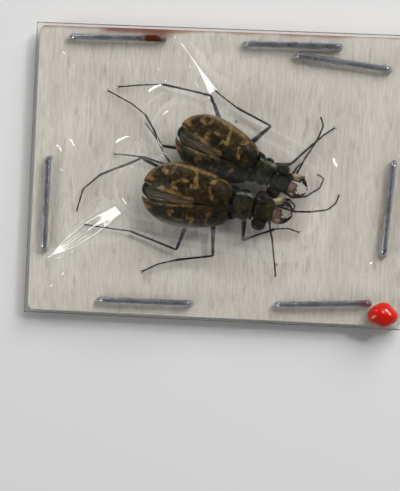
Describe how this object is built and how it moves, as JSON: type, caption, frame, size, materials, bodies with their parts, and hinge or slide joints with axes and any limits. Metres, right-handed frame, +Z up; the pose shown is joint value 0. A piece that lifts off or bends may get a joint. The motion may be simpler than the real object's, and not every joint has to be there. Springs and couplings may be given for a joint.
{
  "type": "mounted tiger beetle specimen",
  "caption": "Dried tiger beetle, laid out beside a second one on a square of card under a clear film that seven staples hold.",
  "frame": {"origin": "under the middle of the card, on the surface that the packet lies on", "axes": "+X along the card's long side, to the right in a view from above; +Y along its short side; +Z up through the card and the film"},
  "size_m": [0.0274, 0.021, 0.0057],
  "materials": {
    "elytron": "satin dark bronze cuticle with ochre marks",
    "body": "metallic bronze-green cuticle",
    "underside": "metallic green-black cuticle",
    "eye": "glossy, finely faceted",
    "labrum": "satin horn",
    "mandible": "glossy dark horn, pale at the root",
    "leg": "glossy purple-black cuticle",
    "antenna": "dark cuticle, dull towards the tip",
    "wing": "satin membrane with darker veins",
    "card": "matt fibrous card",
    "film": "clear crumpled plastic film",
    "staple": "drawn wire, stained with rust in places",
    "seal": "glossy red lacquer"
  },
  "bodies": {
    "root": {"elytron_left": "elytron", "elytron_right": "elytron", "hind_wing_left": "wing", "hind_wing_right": "wing", "thorax": "underside", "abdomen": "underside", "pronotum": "body", "head": "body", "eye_left": "eye", "eye_right": "eye", "labrum": "labrum", "mandible_left": "mandible", "mandible_right": "mandible", "antenna_left": "antenna", "antenna_right": "antenna", "leg_fore_left": "leg", "leg_fore_right": "leg", "leg_mid_left": "leg", "leg_mid_right": "leg", "leg_hind_left": "leg", "leg_hind_right": "leg", "companion_beetle": "elytron", "card": "card", "film": "film", "staple_1": "staple", "staple_2": "staple", "staple_3": "staple", "staple_4": "staple", "staple_5": "staple", "staple_6": "staple", "staple_7": "staple", "seal_drop": "seal"}
  },
  "joints": []
}
